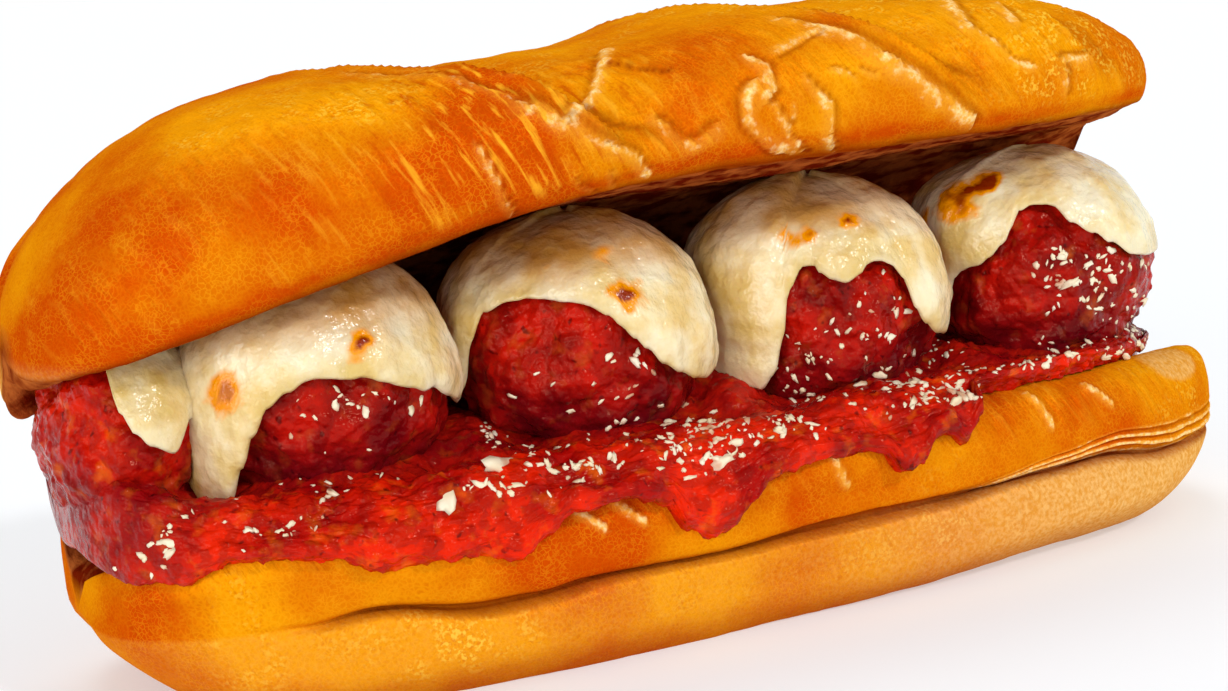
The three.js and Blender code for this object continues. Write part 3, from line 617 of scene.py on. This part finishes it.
def melted_slice(index, material):
    (cx, cy, cz), (a, b, c) = BALLS[index]
    mesh, ball = ball_blank(*SLICE_FACES)
    azimuth = np.arctan2(ball[:, 1], ball[:, 0])
    down = np.arccos(np.clip(ball[:, 2], -1, 1)) / math.pi
    level = 1 / np.hypot(np.cos(azimuth) / a, np.sin(azimuth) / b)
    share = np.minimum(1, 1 - np.abs(1 - 2 * down)) ** 0.85
    wander = lumps(ball * (1, 1, 0) * 20, 6, 50 + index)
    reach = rim_reach(SLICES[index]["rim"], np.degrees(azimuth)) + 0.9 * wander
    run = share * reach
    far = ease(reach, 27, 46)
    half = SLICE_THICKNESS / 2 * between(0.42, 1.0, far) * (1 + 0.3 * ease(share, 0.7, 0.92))
    half = half * np.sqrt(np.maximum(0, 1 - share**9))
    skin = 1 + SLICE_THICKNESS / 2 * between(0.42, 0.8, far) + np.where(down <= 0.5, half, -half)
    drape = ((level + c + SLICE_THICKNESS) / 2 + 1) * (math.pi / 2)
    lean = np.minimum(run / drape, 1) * (math.pi / 2)

    way = np.stack([np.sin(lean) * np.cos(azimuth), np.sin(lean) * np.sin(azimuth), np.cos(lean)], 1)
    spot = way * level[:, None]
    spot[:, 2] -= np.maximum(0, run - drape)
    outer = (down <= 0.5) * (1 - ease(share, 0.93, 1))
    sags = np.stack([azimuth * 5, run / 16, 0 * run], 1)
    skin = skin + outer * (0.6 * lumps(spot, 10, 60 + index) + 0.3 * lumps(spot, 4, 70 + index, 3))
    skin = skin + outer * (0.28 * lumps(sags, 1, 75 + index, 2) * ease(run, 12, 26))
    side, stand = SLICES[index]["shoulder"]
    facing = np.cos(azimuth - math.radians(side))
    out = (level + skin) * np.sin(lean) + stand * ease(facing, 0.2, 0.95) * np.sin(2 * lean) ** 2
    points = np.stack([
        cx + out * np.cos(azimuth),
        cy + out * np.sin(azimuth),
        cz + (c + skin) * np.cos(lean) - np.maximum(0, run - drape),
    ], 1)
    toast = np.zeros(len(points))
    for place, radius, darkness in SLICES[index]["toast"]:
        away = np.linalg.norm(points - place, axis=1) / radius + 0.5 * lumps(points, 3, 80 + index)
        toast = np.maximum(toast, darkness * (1 - ease(away, 0.1, 1.15)))
    thick = np.maximum(ease(-np.cos(azimuth), 0.5, 0.95) * ease(run, 14, 36), 0.9 * (index == 0))
    # Tan towards the lid, which is partly painted shade from the lid above.
    start, end, depth = SLICES[index]["tan_and_lid_shade"]
    tan_and_lid_shade = depth * ease(points[:, 2] + 1.5 * lumps(points, 7, 90), start, end)
    marks = {"toast": toast, "rim": np.maximum(0.55 * ease(share, 0.82, 0.98), thick), "top": tan_and_lid_shade}
    return finished(f"melted_slice_{index + 1}", points, mesh, marks, material)


# The sauce lies in the trough, wells up between the meatballs and runs over the front lip.
def sauce_top(x):
    level = SAUCE_LEVEL + 0.7 * np.sin(x / 4.1) + 0.6 * np.sin(x / 6.7 + 2)
    return level + sum(extra * hump(x, at, width) for at, extra, width in SAUCE_WELLS)


def sauce_corners(x):
    edge = stepped(SAUCE_EDGE, x)
    out = -BASE_HALF_WIDTH - 1.6 + 5 * ease(edge, 28, 32)
    top = sauce_top(x)
    mound = 8 * hump(x, -98, 10)
    return [
        (0, 22), (-22, 24), (-32, np.minimum(edge, 25)), (out + 4, edge - 0.4), (out + 0.4, edge + 0.2),
        (out - 1, edge + 2.2), (out + 1.6, 30.4 + mound / 2), (-36, LIP_HEIGHT + 2 + mound),
        (-28, LIP_HEIGHT + 1.4 + mound), (-18, top),
        (0, top + 1), (16, top + 2), (26, SAUCE_LEVEL + 6), (32, 40), (30, 34), (18, 26),
    ]


def tomato_sauce(material):
    mesh, turn, row = long_blank()
    x = SAUCE_CENTRE_X + SAUCE_HALF_LENGTH * row
    corners = sauce_corners(x)
    broad = 0.7 * ripple(x, turn * 150, 0, 15, 6)
    smooth = skinned(x, turn, row, corners, SAUCE_MIDDLE, SAUCE_ENDS, broad)
    shown = ease(turn, 0.17, 0.24) * (1 - ease(turn, 0.86, 0.92))
    pulp = lumps(smooth, 6, 31)
    bits = lumps(smooth, 2.2, 32, 4)
    climb = np.zeros_like(x)
    for (cx, cy, _), (a, b, _) in BALLS:
        away = (np.hypot((smooth[:, 0] - cx) / a, (smooth[:, 1] - cy) / b) - SUNK_WIDTH) * a
        climb += 2.4 * hump(away, 0, 3.2)
    relief = broad + shown * (1.2 * pulp + 1.1 * np.abs(bits)) + climb * ease(turn, 0.42, 0.5) * shown
    points = skinned(x, turn, row, corners, SAUCE_MIDDLE, SAUCE_ENDS, relief)
    # Marks for painted shade: darker in the hollows between lumps, and towards the back under the lid.
    back = 0.35 * ease(points[:, 1], -33, -24)
    return finished("chunky_sauce", points, mesh, {"painted_hollow_shade": bits, "low": back}, material)


def grated_cheese(surfaces, barriers, material):
    """Grains of grated cheese, each lying on the sauce or a meatball where it fell."""
    roll = random.Random(12)
    trees = [(BVHTree.FromObject(piece, bpy.context.evaluated_depsgraph_get()), piece in surfaces)
             for piece in surfaces + barriers]
    fall = Vector((0.12, 0.8, -0.5)).normalized()
    heap = bmesh.new()
    scrap = bpy.data.meshes.new("scrap")
    for x, z, half_x, half_z, count, large in SPRINKLES:
        for _ in range(count):
            aim = Vector((x + half_x * roll.gauss(0, 0.6), -36, z + half_z * roll.gauss(0, 0.6)))
            size = large * roll.choice((0.2, 0.25, 0.3, 0.35, 0.45, 0.6))
            shape = Vector([size * roll.uniform(*span) for span in ((1.0, 2.1), (0.6, 1.0), (0.4, 0.7))])
            spin = roll.uniform(0, TAU)
            hits = [(tree.ray_cast((aim - 60 * fall) * MM, fall), open_) for tree, open_ in trees]
            hits = [(hit, open_) for hit, open_ in hits if hit[0] is not None]
            if not hits:
                continue
            (place, normal, _, _), open_ = min(hits, key=lambda each: each[0][3])
            if not open_:
                continue
            turned = normal.to_track_quat("Z", "Y").to_matrix().to_4x4() @ Matrix.Rotation(spin, 4, "Z")
            sized = Matrix.Diagonal((*(shape * MM), 1))
            grain = bmesh.new()
            bmesh.ops.create_icosphere(grain, subdivisions=2, radius=1)
            for vert in grain.verts:
                vert.co *= 1 + 0.9 * noise.noise(vert.co * 1.3 + Vector((count, spin, 7 * aim.z)))
            bmesh.ops.transform(grain, matrix=Matrix.Translation(place) @ turned @ sized, verts=grain.verts)
            grain.to_mesh(scrap)
            grain.free()
            heap.from_mesh(scrap)
    bpy.data.meshes.remove(scrap)
    mesh = bpy.data.meshes.new("grated_cheese")
    heap.to_mesh(mesh)
    heap.free()
    mesh.shade_smooth()
    mesh.materials.append(material)
    piece = bpy.data.objects.new("grated_cheese", mesh)
    bpy.context.collection.objects.link(piece)
    return piece


def colour(hex_code):
    """A linear colour from an sRGB hex value."""
    parts = [int(hex_code[i:i + 2], 16) / 255 for i in (1, 3, 5)]
    return [*(p / 12.92 if p <= 0.04045 else ((p + 0.055) / 1.055) ** 2.4 for p in parts), 1]


def add(tree, kind, inputs, **settings):
    """Adds a node. Each input takes a value, or another node's output to link from."""
    node = tree.nodes.new(kind)
    for name, value in settings.items():
        setattr(node, name, value)
    for key, value in inputs.items():
        if isinstance(value, bpy.types.NodeSocket):
            tree.links.new(value, node.inputs[key])
        else:
            node.inputs[key].default_value = value
    return node


def new_finish(name):
    """A material with its shader and the piece's own coordinates."""
    material = bpy.data.materials.new(name)
    material.use_nodes = True
    tree = material.node_tree
    place = add(tree, "ShaderNodeTexCoord", {}).outputs["Object"]
    return material, tree, tree.nodes["Principled BSDF"], place


def per(millimetres):
    """The scale of a pattern whose features are this far apart."""
    return 1 / (millimetres * MM)


def blend(tree, share, below, above):
    """Mixes two colours, each a value or another node's output."""
    return add(tree, "ShaderNodeMix", {0: share, 6: below, 7: above}, data_type="RGBA").outputs[2]


def spread(tree, value, low, high, start=0.0, end=1.0):
    """A value that goes from start to end as the one it is given goes from low to high."""
    return add(tree, "ShaderNodeMapRange", {0: value, 1: low, 2: high, 3: start, 4: end}).outputs[0]


def both(tree, a, b, operation="MULTIPLY"):
    return add(tree, "ShaderNodeMath", {0: a, 1: b}, operation=operation, use_clamp=True).outputs[0]


def grain_of(tree, place, size, detail):
    """Cloudy noise with features this many millimetres apart."""
    inputs = {"Vector": place, "Scale": per(size), "Detail": detail}
    return add(tree, "ShaderNodeTexNoise", inputs).outputs["Fac"]


def marked(tree, *labels):
    return [add(tree, "ShaderNodeAttribute", {}, attribute_name=label).outputs["Fac"] for label in labels]


def bumped(tree, normal, height, strength, depth):
    inputs = {"Height": height, "Strength": strength, "Distance": depth * MM}
    if normal:
        inputs["Normal"] = normal
    return add(tree, "ShaderNodeBump", inputs).outputs["Normal"]


def baked_crust():
    # Crust of a soft white roll, brushed with egg and butter and baked: satin, from gold to deep amber, under
    # a web of fine golden wrinkles, with pale crumb where it has torn, and soft crumb, red-brown with sauce,
    # where it was cut.
    # Golden glints are painted highlights, and the painted shade mark darkens creases, grooves and the sides
    # of tears.
    material, tree, shader, place = new_finish("baked_crust")
    bake, pale, crumb, soft, pull, painted_shade = marked(tree, "bake", "pale", "crumb", "soft", "pull", "painted_shade")
    patches = grain_of(tree, place, 24, 5.0)
    blotches = grain_of(tree, place, 5, 5.0)
    grit = grain_of(tree, place, 0.7, 2.0)
    leaning = add(tree, "ShaderNodeMapping", {"Vector": place, "Rotation": (0, math.radians(-28), 0),
                                              "Scale": (1.3 * MM, 4 * MM, 12 * MM)}, vector_type="TEXTURE")
    leaning = leaning.outputs["Vector"]
    ridges = add(tree, "ShaderNodeTexNoise", {"Vector": leaning, "Scale": 1.0, "Detail": 3.0}).outputs["Fac"]
    sway = add(tree, "ShaderNodeTexNoise", {"Vector": place, "Scale": per(1.6), "Detail": 2.0})
    bent = add(tree, "ShaderNodeVectorMath", {0: sway.outputs["Color"], 1: [1.6 * MM] * 3, 2: place},
               operation="MULTIPLY_ADD").outputs["Vector"]
    walls = add(tree, "ShaderNodeTexVoronoi", {"Vector": bent, "Scale": per(0.75)},
                feature="DISTANCE_TO_EDGE").outputs["Distance"]

    baked = both(tree, bake, spread(tree, patches, 0.34, 0.66, -0.5, 0.5), "ADD")
    shade = blend(tree, baked, colour("#ea9606"), colour("#c84802"))
    inside = both(tree, spread(tree, walls, 0.1, 0.4), spread(tree, blotches, 0.42, 0.6, 0.05, 0.35))
    shade = blend(tree, inside, shade, colour("#c04802"))
    web = both(tree, spread(tree, walls, 0.13, 0.02), spread(tree, blotches, 0.62, 0.4, 0.05, 0.25))
    shade = blend(tree, web, shade, colour("#fbb01c"))
    shade = blend(tree, both(tree, pull, spread(tree, ridges, 0.44, 0.32)), shade, colour("#bf4402"))
    shade = blend(tree, both(tree, pull, spread(tree, ridges, 0.54, 0.7)), shade, colour("#fdb528"))
    # Painted highlight: small golden glints, strongest where the crust is least baked.
    painted_glint = both(tree, spread(tree, grit, 0.5, 0.6), spread(tree, blotches, 0.46, 0.58))
    painted_glint = both(tree, painted_glint, spread(tree, bake, 0.4, 0.0, 0.0, 0.6))
    shade = blend(tree, painted_glint, shade, colour("#ffd84a"))
    loaf = blend(tree, spread(tree, grit, 0.35, 0.65), colour("#e09c40"), colour("#f0bc70"))
    shade = blend(tree, soft, shade, loaf)
    strokes = grain_of(tree, place, 1.6, 3.0)
    frayed = add(tree, "ShaderNodeMath", {0: strokes, 1: 1.2, 2: pale}, operation="MULTIPLY_ADD").outputs[0]
    shade = blend(tree, spread(tree, pale, 0.1, 0.9, 0.0, 0.7), shade, colour("#fab43c"))
    torn = both(tree, spread(tree, frayed, 1.0, 1.35, 0.0, 0.85), spread(tree, pale, 0.04, 0.3))
    fibres = spread(tree, grit, 0.4, 0.6)
    shade = blend(tree, torn, shade, blend(tree, fibres, colour("#f6b650"), colour("#ffdf9c")))
    # Painted shade in the creases, grooves, slash feet and beside the tears.
    shade = blend(tree, painted_shade, shade, colour("#8a2e02"))
    soaked = blend(tree, spread(tree, blotches, 0.42, 0.6), colour("#6e1a04"), colour("#b4602a"))
    shade = blend(tree, crumb, shade, soaked)
    tree.links.new(shade, shader.inputs["Base Color"])

    shader.inputs["Roughness"].default_value = 0.42
    shader.inputs["Metallic"].default_value = 0.12
    shader.inputs["Specular IOR Level"].default_value = 0.0
    shader.inputs["Specular Tint"].default_value = colour("#ffb040")
    rough = bumped(tree, None, walls, -0.5, 0.5)
    rough = bumped(tree, rough, ridges, 0.6, 0.8)
    rough = bumped(tree, rough, grit, 0.4, 0.3)
    tree.links.new(rough, shader.inputs["Normal"])
    return material


def wet_red(name, deep, bright, fleck, shine):
    # Cooked tomato sauce: a wet, slightly clear red pulp, with painted shade in its hollows, fine pits and
    # low parts, and orange flecks of oil and flesh.
    material, tree, shader, place = new_finish(name)
    painted_hollow_shade, low = marked(tree, "painted_hollow_shade", "low")
    shade = blend(tree, spread(tree, grain_of(tree, place, 9, 4.0), 0.38, 0.62), colour(deep), colour(bright))
    flesh = spread(tree, grain_of(tree, place, 3.4, 3.0), 0.56, 0.74, 0.0, 0.5)
    shade = blend(tree, flesh, shade, colour(fleck))
    # Painted shade: darker in the hollows between lumps, in fine pits, and on the marked low parts.
    shade = blend(tree, spread(tree, painted_hollow_shade, -0.2, 0.05, 0.35, 0.0), shade, colour("#5a0406"))
    painted_pit_shade = spread(tree, grain_of(tree, place, 1.5, 1.0), 0.24, 0.34, 0.7, 0.0)
    shade = blend(tree, painted_pit_shade, shade, colour("#3c0204"))
    shade = blend(tree, low, shade, colour("#4a0416"))
    tree.links.new(shade, shader.inputs["Base Color"])
    shader.inputs["Roughness"].default_value = shine
    shader.inputs["Specular IOR Level"].default_value = 0.2
    shader.inputs["Specular Tint"].default_value = colour("#ffc0a0")
    shader.inputs["Subsurface Weight"].default_value = 0.1
    shader.inputs["Subsurface Radius"].default_value = (1.0, 0.2, 0.1)
    shader.inputs["Subsurface Scale"].default_value = 2.0 * MM
    pulp = bumped(tree, None, grain_of(tree, place, 3.2, 2.0), 0.7, 1.6)
    pulp = bumped(tree, pulp, grain_of(tree, place, 1.1, 3.0), 0.5, 0.6)
    tree.links.new(pulp, shader.inputs["Normal"])
    return material


def melted_cheese():
    # Melted provolone: cream coloured, oily and a little clear, yellow where it is thick, tanned under the
    # lid and darkened there with painted shade, and blistered gold and brown where the grill has caught it.
    material, tree, shader, place = new_finish("melted_cheese")
    toast, rim, top = marked(tree, "toast", "rim", "top")
    clouds = grain_of(tree, place, 8, 4.0)
    film = grain_of(tree, place, 2.2, 3.0)
    clear = spread(tree, clouds, 0.42, 0.66)
    shade = blend(tree, clear, colour("#ffeec8"), colour("#ebc980"))
    yellow = both(tree, rim, spread(tree, clouds, 0.4, 0.62, 0.4, 0.9))
    shade = blend(tree, yellow, shade, colour("#d2b25c"))
    tan_and_lid_shade = both(tree, top, spread(tree, clouds, 0.35, 0.6, 0.6, 0.95))
    shade = blend(tree, tan_and_lid_shade, shade, colour("#b87a24"))
    shade = blend(tree, both(tree, tan_and_lid_shade, spread(tree, film, 0.5, 0.7, 0.0, 0.3)), shade, colour("#e0bc7c"))
    shade = blend(tree, spread(tree, toast, 0.02, 0.3), shade, colour("#fc9c00"))
    shade = blend(tree, spread(tree, toast, 0.42, 0.72), shade, colour("#962e00"))
    tree.links.new(shade, shader.inputs["Base Color"])
    shader.inputs["Roughness"].default_value = 0.2
    shader.inputs["Specular IOR Level"].default_value = 0.45
    shader.inputs["Subsurface Weight"].default_value = 0.5
    shader.inputs["Subsurface Radius"].default_value = (1.0, 0.85, 0.55)
    shader.inputs["Subsurface Scale"].default_value = 3.0 * MM
    oily = bumped(tree, None, film, 0.7, 0.9)
    tree.links.new(bumped(tree, oily, toast, 0.6, 0.8), shader.inputs["Normal"])
    return material


def dry_grated_cheese():
    # Grated parmesan: matt, pale and crumbly. Some grains have soaked up the sauce.
    material, tree, shader, place = new_finish("dry_grated_cheese")
    shade = blend(tree, grain_of(tree, place, 4, 2.0), colour("#e6cc92"), colour("#fffaea"))
    wet = spread(tree, grain_of(tree, place, 5.5, 3.0), 0.56, 0.66, 0.0, 0.75)
    tree.links.new(blend(tree, wet, shade, colour("#c46a34")), shader.inputs["Base Color"])
    shader.inputs["Roughness"].default_value = 0.45
    return material


def stage_floor():
    # A lit white table: matt white glass that glows a little, so that shadows on it stay light and neutral.
    material, _, shader, _ = new_finish("white_glass")
    shader.inputs["Base Color"].default_value = colour("#ccd0d4")
    shader.inputs["Roughness"].default_value = 0.9
    shader.inputs["Specular IOR Level"].default_value = 0.0
    shader.inputs["Emission Color"].default_value = colour("#ffffff")
    shader.inputs["Emission Strength"].default_value = 0.4
    shape = bmesh.new()
    bmesh.ops.create_grid(shape, x_segments=1, y_segments=1, size=30)
    mesh = bpy.data.meshes.new("floor")
    shape.to_mesh(mesh)
    shape.free()
    mesh.materials.append(material)
    floor = bpy.data.objects.new("floor", mesh)
    bpy.context.collection.objects.link(floor)


def camera():
    target = Vector(CAMERA_TARGET) * MM
    turn = (Matrix.Rotation(math.radians(CAMERA_TURN), 4, "Z")
            @ Matrix.Rotation(math.radians(90 - CAMERA_RISE), 4, "X")
            @ Matrix.Rotation(math.radians(CAMERA_ROLL), 4, "Z"))
    lens = bpy.data.cameras.new("camera")
    lens.sensor_width = SENSOR_WIDTH
    lens.lens = SENSOR_WIDTH * FOCAL_LENGTH
    lens.clip_start = 0.01
    viewer = bpy.data.objects.new("camera", lens)
    viewer.matrix_world = Matrix.Translation(target) @ turn @ Matrix.Translation((0, 0, CAMERA_DISTANCE * MM))
    bpy.context.collection.objects.link(viewer)
    bpy.context.scene.camera = viewer


def aimed(lamp, place):
    """Puts a lamp at a place in metres, turned to the sandwich."""
    box = bpy.data.objects.new(lamp.name, lamp)
    turn = (Vector(place) - Vector((0, 0, 0.05))).to_track_quat("Z", "Y").to_matrix().to_4x4()
    box.matrix_world = Matrix.Translation(place) @ turn
    bpy.context.collection.objects.link(box)


def studio():
    world = bpy.data.worlds.new("studio")
    bpy.context.scene.world = world
    world.use_nodes = True
    sky = world.node_tree
    height = add(sky, "ShaderNodeSeparateXYZ", {0: add(sky, "ShaderNodeTexCoord", {}).outputs["Generated"]})
    glow = add(sky, "ShaderNodeMapRange", {0: height.outputs["Z"], 1: 0.02, 2: 0.5, 3: 1.0, 4: 0.45})
    sky.links.new(glow.outputs[0], sky.nodes["Background"].inputs["Strength"])
    sky.nodes["Background"].inputs["Color"].default_value = (1, 1, 1, 1)
    skylight = bpy.data.lights.new("skylight", "SUN")
    skylight.energy = 0.75
    skylight.angle = math.radians(30)
    aimed(skylight, (0.0, 0.35, 1.0))
    key = bpy.data.lights.new("key", "SUN")
    key.energy = 1.0
    key.angle = math.radians(6)
    aimed(key, (0.35, -1.0, 0.85))
    fill = bpy.data.lights.new("fill", "SUN")
    fill.energy = 1.2
    fill.angle = math.radians(40)
    aimed(fill, (-1.0, -0.9, 0.3))
    bpy.context.scene.view_settings.view_transform = "Standard"


crust = baked_crust()
meat = wet_red("saucy_meat", "#780406", "#c41608", "#cc5c20", 0.18)
tomato = wet_red("tomato_sauce", "#a80604", "#e42202", "#f07010", 0.16)
cheese = melted_cheese()
parmesan = dry_grated_cheese()


def dress(piece, slot, *nodes):
    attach(piece, "root")
    if nodes:
        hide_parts(*nodes)
    return piece


base = dress(bottom_crust(crust), "crust", "bottom_roll")
lid = dress(top_crust(crust), "crust", "top_roll")
sauce = dress(tomato_sauce(tomato), "sauce", "tomato_sauce")
balls = [dress(meatball(i, meat if i else tomato), "meat", f"meatball_{i + 1}") for i in range(len(BALLS))]
slices = [dress(melted_slice(i, cheese), "cheese", f"cheese_slice_{i + 1}") for i in range(len(SLICES))]
dress(grated_cheese([sauce, *balls], [lid, base, *slices], parmesan), "cheese")

stage_floor()
camera()
studio()

bpy.context.view_layer.update()
